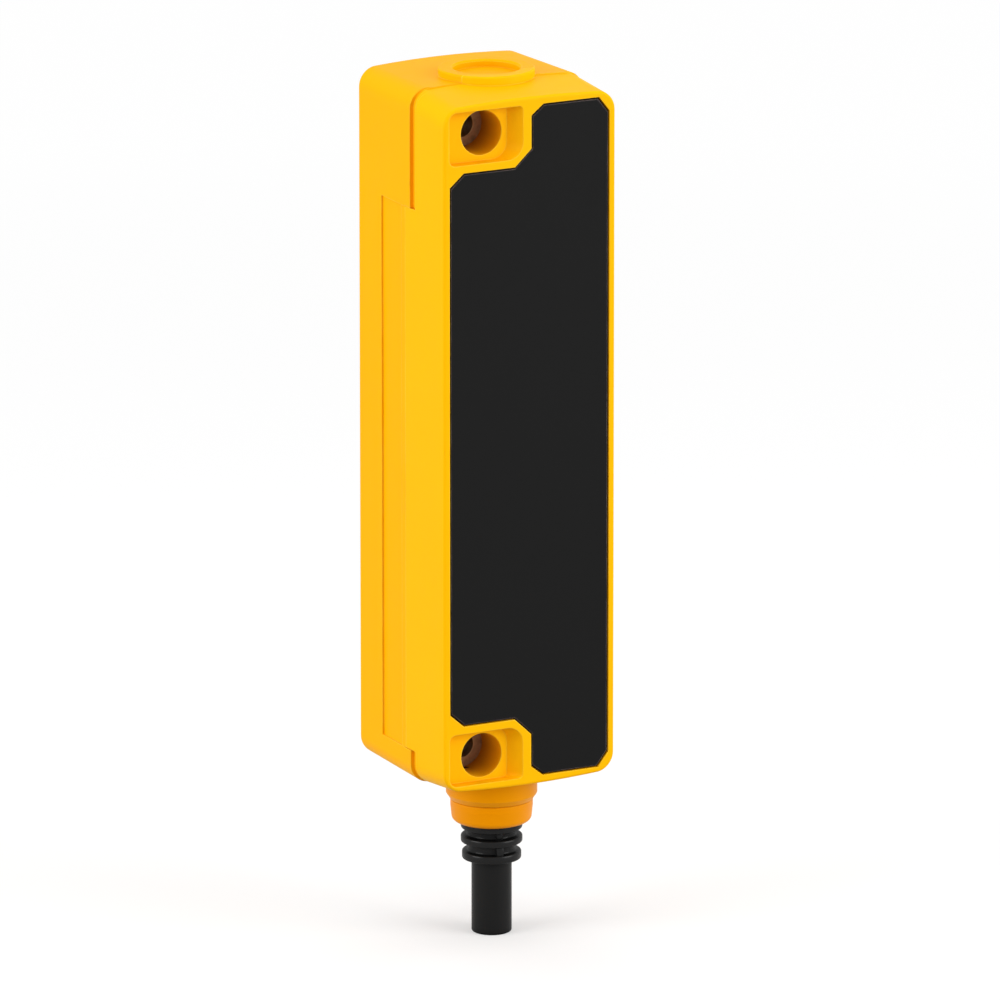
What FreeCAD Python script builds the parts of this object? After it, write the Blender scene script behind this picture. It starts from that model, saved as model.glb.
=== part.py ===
import FreeCAD, Part
import math
import os

# Transponder safety switch in a moulded two-shell housing with a short cable stub.
# Millimetres, +Z up. The origin is the middle of the flat back face that is screwed to the
# machine guard. The sensing face with the black plate looks along -Y, +X is to its right.

# Overall form
BODY_DEPTH = 24.9
BODY_WIDTH = 25.0
BODY_HEIGHT = 91.1
CORNER_RADIUS = 2.6
SMALLEST_CORNER = 0.5
END_CROWN = 0.33
COVER_SIDE_ANGLE = 0.1
COVER_END_ANGLE = 4.5
HOUSING_SIDE_ANGLE = 2.0
HOUSING_END_ANGLE = 0.5
FRONT_EDGE_ROUND = 0.35
BACK_EDGE_ROUND = 0.6
OVERLAP = 0.5

# Joint between the shells, as depths behind the sensing face
SEAM_DEPTH = 8.7
SEAM_STEP = 0.15
SKIRT_DEPTH = 10.8
SKIRT_BELOW_TOP = 14.9
SKIRT_ABOVE_BOTTOM = 3.7
SKIRT_TOP = BODY_HEIGHT / 2 - SKIRT_BELOW_TOP
SKIRT_BOTTOM = -BODY_HEIGHT / 2 + SKIRT_ABOVE_BOTTOM
SKIRT_WALL = 1.0
JOINT_CLEARANCE = 0.06
TONGUE_HEIGHT = 1.6
TONGUE_WALL = 0.8
TONGUE_ROOT = 0.2
GROOVE_FRONT_DEPTH = SEAM_DEPTH - 0.7
GROOVE_BACK_DEPTH = SEAM_DEPTH + 0.5
GROOVE_CUT = 0.55

# Walls
COVER_WALL = 1.9
COVER_FRONT_WALL = 3.0
HOUSING_WALL = 1.9
HOUSING_FLOOR = 2.0

# Shallow panel pressed into each side of the rear housing, with a lip towards the skirt
PANEL_LIP_WIDTH = 1.2
PANEL_WIDTH = 5.75
PANEL_FRONT_DEPTH = SKIRT_DEPTH + PANEL_LIP_WIDTH
PANEL_BACK_DEPTH = PANEL_FRONT_DEPTH + PANEL_WIDTH
PANEL_CUT = 0.25
PANEL_LIP_CUT = 0.1

# Screw pockets
POCKET_SIDE_MARGIN = 0.8
POCKET_END_MARGIN = 0.7
POCKET_WIDTH = 10.74
POCKET_HEIGHT = 7.0
POCKET_CUT = 1.75
POCKET_LEAN = 1.5
POCKET_OUTER_LEFT_RADIUS = 1.1
POCKET_OUTER_RIGHT_RADIUS = 0.6
POCKET_INNER_LEFT_RADIUS = 0.9
POCKET_INNER_RIGHT_RADIUS = 2.2
POCKET_FLOOR = 1.6
POCKET_LEFT = -BODY_WIDTH / 2 + POCKET_SIDE_MARGIN
POCKET_RIGHT = POCKET_LEFT + POCKET_WIDTH
POCKET_OUTER_Z = BODY_HEIGHT / 2 - POCKET_END_MARGIN
POCKET_INNER_Z = POCKET_OUTER_Z - POCKET_HEIGHT

# Black front plate, mirrored about its middle and notched round both pockets
PLATE_SIDE_MARGIN = 1.0
PLATE_END_MARGIN = 0.87
PLATE_THICKNESS = 1.1
PLATE_SET_BACK = 0.08
PLATE_GAP = 0.14
PLATE_BEVEL = 0.12
PLATE_CORNER_X = 1.53
PLATE_CORNER_Z = 1.93
SHOULDER_CORNER_X = 2.02
SHOULDER_CORNER_Z = 1.75
NOTCH_CORNER_X = 1.75
NOTCH_CORNER_Z = 1.38
NOTCH_SIDE_LAND = 1.33
NOTCH_END_LAND = 1.16
NOTCH_INNER_CORNER_X = 1.21
NOTCH_INNER_CORNER_Z = 1.22

# Screw holes with pressed-in sleeves; the lower tower stands just beside the cable's cores
HOLE_X = -6.18
HOLE_FROM_END = 4.05
HOLE_Z = BODY_HEIGHT / 2 - HOLE_FROM_END
COUNTERBORE_RADIUS = 2.95
SCREW_SEAT_DEPTH = 7.25
SCREW_HOLE_RADIUS = 1.7
SLEEVE_WALL = 1.5
SLEEVE_CLEARANCE = 0.05
SLEEVE_EDGE_BREAK = 0.2
TOWER_WALL = 0.8
SLEEVE_BED_RADIUS = SCREW_HOLE_RADIUS + SLEEVE_WALL + SLEEVE_CLEARANCE
TOWER_RADIUS = SLEEVE_BED_RADIUS + TOWER_WALL

# Seal between the shells
SEAL_THICKNESS = 0.8
SEAL_WIDTH = 0.7

# Closed port at the top
TOP_PORT_DEPTH = 12.0
TOP_BOSS_RADIUS = 6.3
TOP_BOSS_RISE = 0.85
TOP_BOSS_ROUND = 0.25
TOP_RECESS_RADIUS = 4.35
TOP_RECESS_CUT = 1.0
TOP_RECESS_ROUND = 0.25

# Cable port, collar and strain relief under the housing
CABLE_DEPTH = 10.6
PORT_RADIUS = 6.0
PORT_LENGTH = 3.75
PORT_CHAMFER = 0.75
PORT_END_RADIUS = 5.5
PORT_BORE_RADIUS = 4.8
COLLAR_RADIUS = 5.42
COLLAR_BAND = 1.0
COLLAR_CONE = 2.15
COLLAR_CONE_RADIUS = 5.2
COLLAR_END_ROUND = 0.8
COLLAR_SPIGOT = 2.6
COLLAR_BORE_RADIUS = 3.2
COLLAR_EDGE_ROUND = 0.2
O_RING_SECTION = 0.8
O_RING_FROM_SHOULDER = 0.8
RELIEF_BLOCK_RADIUS = 4.05
RELIEF_BLOCK = 1.5
RELIEF_HEAD_RADIUS = 4.4
RELIEF_HEAD = 0.8
RELIEF_EDGE_ROUND = 0.3

# Ribs of the strain relief from the top: radius, height, gap above, width and turn of the web
RELIEF_RIBS = (
    (4.06, 1.0, 1.1, 2.2, -21),
    (3.9, 1.1, 1.3, 1.0, -9.5),
)

# Cable: a jacket with eight cores
CABLE_RADIUS = 2.65
CABLE_STUB = 9.15
CABLE_END_ROUND = 0.3
JACKET_WALL = 0.6
JACKET_INSIDE = 1.0
CORE_RADIUS = 0.58
CONDUCTOR_RADIUS = 0.3
CORE_RING_RADIUS = 1.4
CORE_BARE = 1.2
CORE_BEND_RADIUS = 2.6
CORE_COLOURS = ("white", "brown", "green", "yellow", "grey", "pink", "blue", "red")

# Circuit board between the screw towers
BOARD_DEPTH = 14.0
BOARD_THICKNESS = 1.6
BOARD_SIDE_MARGIN = 2.5
BOARD_TOWER_MARGIN = 1.3
BOARD_HALF_WIDTH = BODY_WIDTH / 2 - BOARD_SIDE_MARGIN
BOARD_HALF_HEIGHT = HOLE_Z - TOWER_RADIUS - BOARD_TOWER_MARGIN
BOARD_CORNER_RADIUS = 1.0
BOARD_SCREW_FROM_SIDE = 2.0
BOARD_SCREW_FROM_END = 2.8
BOARD_SCREW_X = BOARD_HALF_WIDTH - BOARD_SCREW_FROM_SIDE
BOARD_SCREW_Z = BOARD_HALF_HEIGHT - BOARD_SCREW_FROM_END
BOARD_SCREW_RADIUS = 1.0
BOARD_SCREW_HEAD_RADIUS = 1.9
BOARD_SCREW_HEAD = 1.3
BOARD_SCREW_LENGTH = 6.0
BOARD_SCREW_TIP_ROOM = 0.3
BOARD_POST_RADIUS = 2.2
FIT = 0.05

# Solder pads at the foot of the board and the way of the cores to them
PAD_PITCH = 1.55
PAD_WIDTH = 1.1
PAD_FROM_END = 10.85
CORE_ON_PAD = 2.8
CORE_DROP = 3.2
CORE_PAST_SCREWS = 4.15
CORE_FAN = 3.4
PAD_Z = PAD_FROM_END - BOARD_HALF_HEIGHT
CORE_LAND_Z = PAD_Z - CORE_ON_PAD
CORE_DROP_Z = CORE_LAND_Z - CORE_DROP
CORE_FAN_TOP_Z = CORE_DROP_Z - CORE_PAST_SCREWS
CORE_FAN_BOTTOM_Z = CORE_FAN_TOP_Z - CORE_FAN

# Other parts on the board: width along X, length along Z, height
CRYSTAL_SIZE = (7.0, 4.0, 3.4)
CRYSTAL_CORNER = 1.8
MICROCONTROLLER_SIZE = (5.0, 5.0, 1.1)
READER_SIZE = (3.9, 4.9, 1.5)
DRIVER_SIZE = (3.9, 4.9, 1.5)
INDUCTOR_SIZE = (5.0, 5.0, 3.0)
INDUCTOR_CORNER = 1.0
DIODE_SIZE = (4.2, 2.2, 2.1)
CAPACITOR_BASE_SIZE = (5.3, 5.3, 0.8)
CAPACITOR_BASE_CORNER = 0.8
CAPACITOR_RADIUS = 2.5
CAPACITOR_HEIGHT = 5.4
CAPACITOR_EDGE_ROUND = 0.3
RESISTOR_SIZE = (0.8, 1.6, 0.5)
CERAMIC_SIZE = (0.9, 1.6, 0.9)
SMALL_PART_PAIRS = 6
PART_MARGIN = 0.4

# Transponder read head, under the plate and below the crystal
CORE_CUP_SHARE = 0.32
CORE_CUP_RADIUS = CORE_CUP_SHARE * BODY_WIDTH
CORE_CUP_HEIGHT = 5.0
CORE_CUP_WALL = 1.1
CORE_CUP_FLOOR = 1.3
CORE_POST_SHARE = 0.375
CORE_POST_RADIUS = CORE_POST_SHARE * CORE_CUP_RADIUS
CORE_CUP_TO_FRONT = 0.5
BOBBIN_WALL = 0.5
WINDING_MARGIN = 0.3
HOLDER_WALL = 1.2
HOLDER_LIP = 1.5
HOLDER_SEAT = 2.5
HOLDER_RADIUS = CORE_CUP_RADIUS + FIT + HOLDER_WALL
COIL_Z = BOARD_SCREW_Z - CRYSTAL_SIZE[1] / 2 - PART_MARGIN - HOLDER_RADIUS

# Columns in which the parts stand below the read head
LEFT_COLUMN_X = 3.7 - BOARD_HALF_WIDTH
RIGHT_COLUMN_X = BOARD_HALF_WIDTH - 3.5
MIDDLE_COLUMN_X = 0.2

# Leads of the chips
MICROCONTROLLER_PITCH = 0.5
READER_PITCH = 0.65
DRIVER_PITCH = 1.27
LEAD_END_MARGIN = 0.5
LEAD_SHARE = 0.4
LEAD_LENGTH = 1.0
LEAD_THICKNESS = 0.18
CHIP_STANDOFF = 0.1


def at_depth(depth):
    """Y of a plane at a depth behind the sensing face; the back face is Y = 0."""
    return depth - BODY_DEPTH


def slope(angle, run):
    return math.tan(math.radians(angle)) * run


def outline(half_width, half_height, radius, depth):
    """Rounded rectangle seen from the front, with slightly crowned ends."""
    y = at_depth(depth)
    straight = half_width - radius
    flank = half_height - radius
    middle = math.sqrt(0.5) * radius

    def point(x, z):
        return FreeCAD.Vector(x, y, z)

    edges = []
    for end in (1, -1):
        left = point(-straight, end * half_height)
        right = point(straight, end * half_height)
        crest = point(0, end * (half_height + END_CROWN))
        edges.append(Part.Arc(left, crest, right).toShape())
        for side in (1, -1):
            start = point(side * straight, end * half_height)
            bend = point(side * (straight + middle), end * (flank + middle))
            stop = point(side * half_width, end * flank)
            edges.append(Part.Arc(start, bend, stop).toShape())
    for side in (1, -1):
        low = point(side * half_width, -flank)
        high = point(side * half_width, flank)
        edges.append(Part.LineSegment(low, high).toShape())
    return Part.Wire(Part.__sortEdges__(edges))


def cover_section(depth, inset=0.0):
    half_width = BODY_WIDTH / 2 + slope(COVER_SIDE_ANGLE, depth) - inset
    half_height = BODY_HEIGHT / 2 + slope(COVER_END_ANGLE, depth) - inset
    return outline(half_width, half_height, max(CORNER_RADIUS - inset, SMALLEST_CORNER), depth)


def seam_half_width():
    return BODY_WIDTH / 2 + slope(COVER_SIDE_ANGLE, SEAM_DEPTH) + SEAM_STEP


def seam_half_height():
    return BODY_HEIGHT / 2 + slope(COVER_END_ANGLE, SEAM_DEPTH) + SEAM_STEP


def housing_section(depth, inset=0.0):
    behind = depth - SEAM_DEPTH
    half_width = seam_half_width() - slope(HOUSING_SIDE_ANGLE, behind) - inset
    half_height = seam_half_height() - slope(HOUSING_END_ANGLE, behind) - inset
    return outline(half_width, half_height, max(CORNER_RADIUS - inset, SMALLEST_CORNER), depth)


def drafted(section, front_depth, back_depth, inset=0.0):
    """Solid between two depths whose walls follow the draft of a shell."""
    wires = [section(front_depth, inset), section(back_depth, inset)]
    return Part.makeLoft(wires, True, True)


def slab(x_range, depth_range, z_range):
    """Box between two values of X, depth behind the sensing face, and Z."""
    x0, x1 = x_range
    d0, d1 = depth_range
    z0, z1 = z_range
    corner = FreeCAD.Vector(x0, at_depth(d0), z0)
    return Part.makeBox(x1 - x0, d1 - d0, z1 - z0, corner)


def rod_y(radius, x, z, front_depth, back_depth):
    """Cylinder along Y between two depths."""
    start = FreeCAD.Vector(x, at_depth(front_depth), z)
    return Part.makeCylinder(radius, back_depth - front_depth, start, FreeCAD.Vector(0, 1, 0))


def rod_z(radius, depth, bottom, top, x=0.0):
    """Cylinder along Z between two heights."""
    return Part.makeCylinder(radius, top - bottom, FreeCAD.Vector(x, at_depth(depth), bottom))


def turned_z(profile, depth):
    """Solid turned about the vertical line X = 0 at a depth, from (radius, Z) points."""
    points = [FreeCAD.Vector(radius, 0, z) for radius, z in profile]
    face = Part.Face(Part.makePolygon(points + points[:1]))
    solid = face.revolve(FreeCAD.Vector(0, 0, 0), FreeCAD.Vector(0, 0, 1), 360)
    solid.translate(FreeCAD.Vector(0, at_depth(depth), 0))
    return solid


def pushed(wire, back_depth):
    """Solid from a flat outline at some depth, pushed back to another depth."""
    face = Part.Face(wire)
    run = at_depth(back_depth) - wire.BoundBox.YMin
    return face.extrude(FreeCAD.Vector(0, run, 0))


def edges_where(shape, test):
    return [edge for edge in shape.Edges if test(edge)]


def lies_at_y(edge, y):
    box = edge.BoundBox
    return abs(box.YMin - y) < 1e-4 and abs(box.YMax - y) < 1e-4


def lies_at_z(edge, z):
    box = edge.BoundBox
    return abs(box.ZMin - z) < 1e-4 and abs(box.ZMax - z) < 1e-4


def is_circle(edge, radius):
    curve = edge.Curve
    return isinstance(curve, Part.Circle) and abs(curve.Radius - radius) < 1e-4


def fuse_all(shapes):
    return shapes[0].fuse(list(shapes[1:])).removeSplitter()


def end_wall_z():
    """Height of the housing's end at the cable's depth."""
    return seam_half_height() - slope(HOUSING_END_ANGLE, CABLE_DEPTH - SEAM_DEPTH)


def port_end_z():
    return -(end_wall_z() + PORT_LENGTH)


def relief_top_z():
    return port_end_z() - COLLAR_BAND - COLLAR_CONE


def relief_end_z():
    ribs = sum(height + gap for radius, height, gap, width, turn in RELIEF_RIBS)
    return relief_top_z() - RELIEF_BLOCK - ribs


def cable_end_z():
    return relief_end_z() - CABLE_STUB


def boss_top_z():
    wall = seam_half_height() - slope(HOUSING_END_ANGLE, TOP_PORT_DEPTH - SEAM_DEPTH)
    return wall + END_CROWN + TOP_BOSS_RISE


def hole_places():
    return ((HOLE_X, HOLE_Z), (HOLE_X, -HOLE_Z))


def plate_outline(grow, depth):
    """Outline of the black plate: notched round both screw pockets, all corners cut off."""
    side = BODY_WIDTH / 2 - PLATE_SIDE_MARGIN + grow
    end = BODY_HEIGHT / 2 - PLATE_END_MARGIN + grow
    notch_x = POCKET_RIGHT + NOTCH_SIDE_LAND - grow
    notch_z = POCKET_INNER_Z - NOTCH_END_LAND + grow
    half = [
        (-side, notch_z - SHOULDER_CORNER_Z),
        (-side + SHOULDER_CORNER_X, notch_z),
        (POCKET_RIGHT - NOTCH_INNER_CORNER_X, notch_z),
        (notch_x, POCKET_INNER_Z + NOTCH_INNER_CORNER_Z),
        (notch_x, end - NOTCH_CORNER_Z),
        (notch_x + NOTCH_CORNER_X, end),
        (side - PLATE_CORNER_X, end),
        (side, end - PLATE_CORNER_Z),
    ]
    points = half + [(x, -z) for x, z in reversed(half)]
    y = at_depth(depth)
    vectors = [FreeCAD.Vector(x, y, z) for x, z in points]
    return Part.makePolygon(vectors + vectors[:1])


def pocket_outline(end, depth, lean=0.0):
    """Outline of one screw pocket: four corners, each with its own radius."""
    y = at_depth(depth)
    right = POCKET_RIGHT - lean
    corners = (
        (POCKET_LEFT, POCKET_OUTER_Z, 1, -1, POCKET_OUTER_LEFT_RADIUS),
        (right, POCKET_OUTER_Z, -1, -1, POCKET_OUTER_RIGHT_RADIUS),
        (right, POCKET_INNER_Z, -1, 1, POCKET_INNER_RIGHT_RADIUS),
        (POCKET_LEFT, POCKET_INNER_Z, 1, 1, POCKET_INNER_LEFT_RADIUS),
    )

    def point(x, z):
        return FreeCAD.Vector(x, y, end * z)

    arcs = []
    for number, (x, z, inward_x, inward_z, radius) in enumerate(corners):
        across = point(x + inward_x * radius, z)
        along = point(x, z + inward_z * radius)
        corner = radius * (1 - math.sqrt(0.5))
        bend = point(x + inward_x * corner, z + inward_z * corner)
        ends = (along, across) if number % 2 == 0 else (across, along)
        arcs.append((ends[0], bend, ends[1]))
    edges = []
    for number, (start, bend, stop) in enumerate(arcs):
        edges.append(Part.Arc(start, bend, stop).toShape())
        following = arcs[(number + 1) % len(arcs)][0]
        edges.append(Part.LineSegment(stop, following).toShape())
    return Part.Wire(edges)


def pocket(end):
    """Room of one screw pocket, whose wall beside the plate leans inwards."""
    rim = pocket_outline(end, 0)
    floor = pocket_outline(end, POCKET_CUT, POCKET_LEAN)
    return pushed(pocket_outline(end, -1), 0).fuse(Part.makeLoft([rim, floor], True, True))


def skirt_zone(grow):
    """The two bands along the sides where the cover's skirt laps over the housing."""
    depths = (SEAM_DEPTH - OVERLAP, SKIRT_DEPTH + grow)
    heights = (SKIRT_BOTTOM - grow, SKIRT_TOP + grow)
    inner = BODY_WIDTH / 2 - SKIRT_WALL - grow
    outer = BODY_WIDTH
    return slab((-outer, -inner), depths, heights).fuse(slab((inner, outer), depths, heights))


def seam_grooves():
    """Open joint beside the corners: a groove that thins out round each corner."""
    depths = (GROOVE_FRONT_DEPTH, GROOVE_BACK_DEPTH)
    bands = []
    for side in (1, -1):
        near = BODY_WIDTH / 2 - CORNER_RADIUS
        xs = sorted((side * near, side * BODY_WIDTH))
        bands.append(slab(xs, depths, (SKIRT_TOP, BODY_HEIGHT)))
        bands.append(slab(xs, depths, (-BODY_HEIGHT, SKIRT_BOTTOM)))
    half_width = seam_half_width() - GROOVE_CUT
    core = outline(half_width, seam_half_height(), CORNER_RADIUS, GROOVE_FRONT_DEPTH)
    return fuse_all(bands).cut(pushed(core, GROOVE_BACK_DEPTH))


def top_boss(front_depth, back_depth):
    """The part of the round top boss between two depths."""
    top = boss_top_z()
    bottom = BODY_HEIGHT / 2 - HOUSING_WALL
    boss = rod_z(TOP_BOSS_RADIUS, TOP_PORT_DEPTH, bottom, top)
    rim = edges_where(boss, lambda edge: is_circle(edge, TOP_BOSS_RADIUS) and lies_at_z(edge, top))
    boss = boss.makeFillet(TOP_BOSS_ROUND, rim)
    reach = 2 * TOP_BOSS_RADIUS
    return boss.common(slab((-reach, reach), (front_depth, back_depth), (bottom - 1, top + 1)))


def top_recess():
    """Round blind port in the top boss, with a soft rim."""
    top = boss_top_z()
    floor = top - TOP_RECESS_CUT
    recess = rod_z(TOP_RECESS_RADIUS, TOP_PORT_DEPTH, floor, top + 1)
    rim = turned_z(
        [
            (TOP_RECESS_RADIUS - TOP_RECESS_ROUND, top - TOP_RECESS_ROUND),
            (TOP_RECESS_RADIUS, top - TOP_RECESS_ROUND),
            (TOP_RECESS_RADIUS + TOP_RECESS_ROUND, top),
            (TOP_RECESS_RADIUS + TOP_RECESS_ROUND, top + 1),
            (TOP_RECESS_RADIUS - TOP_RECESS_ROUND, top + 1),
        ],
        TOP_PORT_DEPTH,
    )
    return recess.fuse(rim)


def front_cover():
    """Front shell: plate recess, two screw pockets, lapped skirt, hollow behind."""
    seal_depth = SEAM_DEPTH - TONGUE_HEIGHT - SEAL_THICKNESS
    shell = drafted(cover_section, 0, SEAM_DEPTH)
    front = edges_where(shell, lambda edge: lies_at_y(edge, at_depth(0)))
    shell = shell.makeFillet(FRONT_EDGE_ROUND, front)
    skirt = drafted(cover_section, SEAM_DEPTH - OVERLAP, SKIRT_DEPTH).common(skirt_zone(0))
    boss = top_boss(0, SEAM_DEPTH)
    cover = fuse_all([shell, skirt, boss])
    cover = cover.cut(drafted(cover_section, COVER_FRONT_WALL, seal_depth, COVER_WALL))
    cover = cover.cut(drafted(cover_section, seal_depth, SKIRT_DEPTH + 1, SKIRT_WALL))
    towers = []
    for x, z in hole_places():
        towers.append(rod_y(TOWER_RADIUS, x, z, POCKET_CUT, SCREW_SEAT_DEPTH))
    for end in (1, -1):
        heights = sorted((end * (POCKET_INNER_Z - POCKET_FLOOR), end * POCKET_OUTER_Z))
        widths = (POCKET_LEFT, POCKET_RIGHT + POCKET_FLOOR)
        towers.append(slab(widths, (POCKET_CUT, POCKET_CUT + POCKET_FLOOR), heights))
    inside = drafted(cover_section, OVERLAP, SCREW_SEAT_DEPTH, SKIRT_WALL + JOINT_CLEARANCE)
    seal_space = drafted(cover_section, seal_depth, SEAM_DEPTH, SKIRT_WALL)
    seal_space = seal_space.cut(drafted(cover_section, seal_depth - 1, SEAM_DEPTH + 1, COVER_WALL))
    cover = fuse_all([cover, fuse_all(towers).common(inside).cut(seal_space)])
    cover = cover.cut(pushed(plate_outline(PLATE_GAP, -1), PLATE_THICKNESS + PLATE_SET_BACK))
    for end in (1, -1):
        cover = cover.cut(pocket(end))
    for x, z in hole_places():
        cover = cover.cut(rod_y(COUNTERBORE_RADIUS, x, z, 0, SCREW_SEAT_DEPTH + 1))
    cover = cover.cut(seam_grooves())
    port_seat = -end_wall_z() + JOINT_CLEARANCE
    cover = cover.cut(rod_z(PORT_RADIUS + JOINT_CLEARANCE, CABLE_DEPTH, port_end_z(), port_seat))
    return cover.cut(rod_z(CABLE_RADIUS + 2 * FIT, CABLE_DEPTH, port_end_z(), port_seat + 2 * COVER_WALL))


def rear_housing():
    """Rear shell: drafted box with sunk side panels, screw towers, board posts and cable port."""
    floor_depth = BODY_DEPTH - HOUSING_FLOOR
    shell = drafted(housing_section, SEAM_DEPTH, BODY_DEPTH)
    back = edges_where(shell, lambda edge: lies_at_y(edge, at_depth(BODY_DEPTH)))
    shell = shell.makeFillet(BACK_EDGE_ROUND, back)
    shell = fuse_all([shell, top_boss(SEAM_DEPTH, BODY_DEPTH)])
    tongue_depth = SEAM_DEPTH - TONGUE_HEIGHT
    tongue_back = SEAM_DEPTH + TONGUE_ROOT
    tongue_inset = SKIRT_WALL + JOINT_CLEARANCE
    shell = fuse_all([shell, drafted(cover_section, tongue_depth, tongue_back, tongue_inset)])
    shell = shell.cut(drafted(cover_section, tongue_depth - 1, tongue_back, tongue_inset + TONGUE_WALL))
    shell = shell.cut(drafted(housing_section, SEAM_DEPTH, floor_depth, HOUSING_WALL))
    behind_seam = drafted(housing_section, SEAM_DEPTH, BODY_DEPTH, HOUSING_WALL / 2)
    before_seam = drafted(cover_section, tongue_depth, SEAM_DEPTH, tongue_inset)
    inner = []
    for x, z in hole_places():
        inner.append(rod_y(TOWER_RADIUS, x, z, SCREW_SEAT_DEPTH, floor_depth + OVERLAP))
    for x, z in board_screw_places():
        inner.append(rod_y(BOARD_POST_RADIUS, x, z, BOARD_DEPTH + BOARD_THICKNESS, floor_depth + OVERLAP))
    bed = rod_z(PORT_RADIUS, CABLE_DEPTH, -end_wall_z(), -end_wall_z() + HOUSING_WALL)
    bed = bed.common(drafted(housing_section, SEAM_DEPTH, floor_depth))
    port = turned_z(
        [
            (0, port_end_z()),
            (PORT_END_RADIUS, port_end_z()),
            (PORT_RADIUS, port_end_z() + PORT_CHAMFER),
            (PORT_RADIUS, -end_wall_z()),
            (0, -end_wall_z()),
        ],
        CABLE_DEPTH,
    )
    inner = fuse_all(inner)
    shell = fuse_all([shell, inner.common(behind_seam), inner.common(before_seam), bed, port])
    bore_top = -end_wall_z() + HOUSING_WALL + 1
    shell = shell.cut(rod_z(PORT_BORE_RADIUS, CABLE_DEPTH, port_end_z() - 1, -end_wall_z()))
    shell = shell.cut(rod_z(CABLE_RADIUS + 2 * FIT, CABLE_DEPTH, -end_wall_z() - 1, bore_top))
    for x, z in hole_places():
        shell = shell.cut(rod_y(SLEEVE_BED_RADIUS, x, z, tongue_depth, BODY_DEPTH + 1))
    for x, z in board_screw_places():
        pilot_end = BOARD_DEPTH + BOARD_SCREW_LENGTH + BOARD_SCREW_TIP_ROOM
        shell = shell.cut(rod_y(BOARD_SCREW_RADIUS + FIT, x, z, BOARD_DEPTH, pilot_end))
    shell = shell.cut(skirt_zone(JOINT_CLEARANCE))
    shell = shell.cut(seam_grooves())
    widths = (-BODY_WIDTH, BODY_WIDTH)
    heights = (SKIRT_BOTTOM, SKIRT_TOP)
    panel = slab(widths, (PANEL_FRONT_DEPTH, PANEL_BACK_DEPTH), heights)
    lip = slab(widths, (SKIRT_DEPTH, PANEL_FRONT_DEPTH), heights)
    shell = shell.cut(panel.cut(drafted(housing_section, SEAM_DEPTH, BODY_DEPTH, PANEL_CUT)))
    shell = shell.cut(lip.cut(drafted(housing_section, SEAM_DEPTH, BODY_DEPTH, PANEL_LIP_CUT)))
    return shell.cut(top_recess())


def front_plate():
    """Black plate let into the cover, with a fine bevel round its face."""
    plate = pushed(plate_outline(0, PLATE_SET_BACK), PLATE_SET_BACK + PLATE_THICKNESS)
    face = edges_where(plate, lambda edge: lies_at_y(edge, at_depth(PLATE_SET_BACK)))
    return plate.makeChamfer(PLATE_BEVEL, face)


def mounting_sleeve(x, z):
    """Metal bush that takes the clamping force of one M3 screw."""
    outer = SCREW_HOLE_RADIUS + SLEEVE_WALL
    sleeve = rod_y(outer, x, z, SCREW_SEAT_DEPTH, BODY_DEPTH)
    sleeve = sleeve.makeChamfer(SLEEVE_EDGE_BREAK, edges_where(sleeve, lambda edge: is_circle(edge, outer)))
    return sleeve.cut(rod_y(SCREW_HOLE_RADIUS, x, z, SCREW_SEAT_DEPTH - 1, BODY_DEPTH + 1))


def cover_seal():
    """Flat gasket squeezed between the cover and the housing's tongue."""
    seal_depth = SEAM_DEPTH - TONGUE_HEIGHT - SEAL_THICKNESS
    outer = SKIRT_WALL + JOINT_CLEARANCE
    ring = drafted(cover_section, seal_depth, seal_depth + SEAL_THICKNESS, outer)
    return ring.cut(drafted(cover_section, seal_depth - 1, SEAM_DEPTH, outer + SEAL_WIDTH))


def gland_collar():
    """Clamping collar under the cable port, with a spigot that carries the O-ring."""
    top = port_end_z()
    end = relief_top_z()
    spigot = PORT_BORE_RADIUS - FIT
    groove_top = top + O_RING_FROM_SHOULDER + O_RING_SECTION + FIT
    groove_floor = spigot - O_RING_SECTION
    collar = turned_z(
        [
            (COLLAR_BORE_RADIUS, end),
            (COLLAR_CONE_RADIUS, end),
            (COLLAR_RADIUS, top - COLLAR_BAND),
            (COLLAR_RADIUS, top - COLLAR_EDGE_ROUND),
            (COLLAR_RADIUS - COLLAR_EDGE_ROUND, top),
            (spigot, top),
            (spigot, top + O_RING_FROM_SHOULDER),
            (groove_floor, top + O_RING_FROM_SHOULDER),
            (groove_floor, groove_top),
            (spigot, groove_top),
            (spigot, top + COLLAR_SPIGOT),
            (COLLAR_BORE_RADIUS, top + COLLAR_SPIGOT),
        ],
        CABLE_DEPTH,
    )
    rim = edges_where(collar, lambda edge: is_circle(edge, COLLAR_CONE_RADIUS) and lies_at_z(edge, end))
    return collar.makeFillet(COLLAR_END_ROUND, rim)


def gland_o_ring():
    """O-ring in the groove of the collar's spigot."""
    section = O_RING_SECTION / 2
    centre = PORT_BORE_RADIUS - FIT - section
    z = port_end_z() + O_RING_FROM_SHOULDER + section + FIT / 2
    ring = Part.makeTorus(centre, section, FreeCAD.Vector(0, at_depth(CABLE_DEPTH), z))
    return ring


def relief_web(bottom, top, radius, width, turn):
    """Upright web through the axis of the cable, turned from the line of depth."""
    reach = radius - RELIEF_EDGE_ROUND
    depths = (CABLE_DEPTH - reach, CABLE_DEPTH + reach)
    web = slab((-width / 2, width / 2), depths, (bottom, top))
    axis = FreeCAD.Vector(0, at_depth(CABLE_DEPTH), 0)
    web.rotate(axis, FreeCAD.Vector(0, 0, 1), turn)
    return web


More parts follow.
